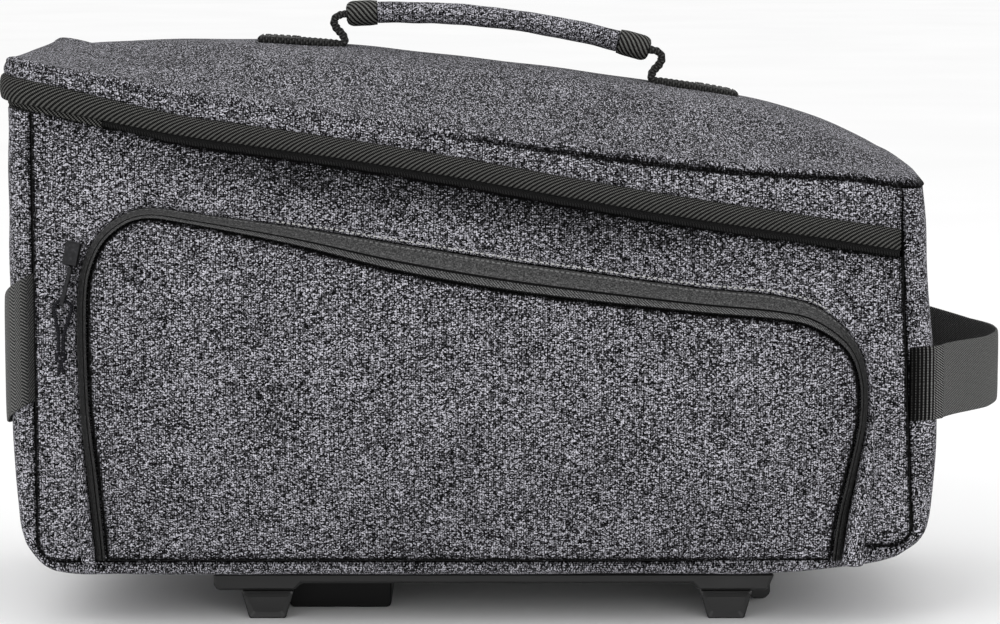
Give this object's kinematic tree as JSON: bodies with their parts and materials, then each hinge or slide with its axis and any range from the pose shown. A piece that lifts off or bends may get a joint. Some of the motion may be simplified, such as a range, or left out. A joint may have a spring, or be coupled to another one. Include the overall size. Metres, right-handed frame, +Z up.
{
  "type": "bicycle trunk bag",
  "caption": "Padded fabric trunk bag with a domed zip lid, side pockets, carrying handle and pull loop, on a plastic adapter that clips to a rear bicycle rack.",
  "frame": {"origin": "on the ground under the middle of the bag's box, level with the bottoms of the adapter's feet", "axes": "+X along the bag from the tall end to the low end with the pull loop, +Y across the bag, +Z up"},
  "size_m": [0.4002, 0.2166, 0.2427],
  "materials": {
    "heather_fabric": "padded woven heather fabric, charcoal with pale flecks",
    "twill_tape": "diagonal twill tape",
    "zip_tape": "satin coated zip tape",
    "webbing": "ribbed woven webbing",
    "cord": "braided cord",
    "dark_metal": "dark plated metal",
    "adapter_plastic": "satin moulded plastic"
  },
  "bodies": {
    "root": {"side_panel_near": "heather_fabric", "side_panel_far": "heather_fabric", "end_and_base_panel": "heather_fabric", "lid_top": "heather_fabric", "lid_band": "heather_fabric", "main_zip": "zip_tape", "zip_flap": "twill_tape", "rim_tape": "twill_tape", "pocket_panel_near": "heather_fabric", "pocket_panel_far": "heather_fabric", "pocket_zip_near": "zip_tape", "pocket_zip_far": "zip_tape", "zip_slider_near": "dark_metal", "zip_slider_far": "dark_metal", "zip_puller_near": "dark_metal", "zip_puller_far": "dark_metal", "pull_cord_near": "cord", "pull_cord_far": "cord", "cord_knot_near": "cord", "cord_knot_far": "cord", "handle_grip": "heather_fabric", "handle_wrap_tall": "twill_tape", "handle_wrap_low": "twill_tape", "handle_strap_tall": "webbing", "handle_strap_low": "webbing", "pull_loop": "webbing", "light_band": "twill_tape", "rack_plate": "adapter_plastic", "foot_tall_near": "adapter_plastic", "foot_tall_far": "adapter_plastic", "foot_low_near": "adapter_plastic", "foot_low_far": "adapter_plastic", "latch_housing": "adapter_plastic", "front_hook": "adapter_plastic"}
  },
  "joints": []
}
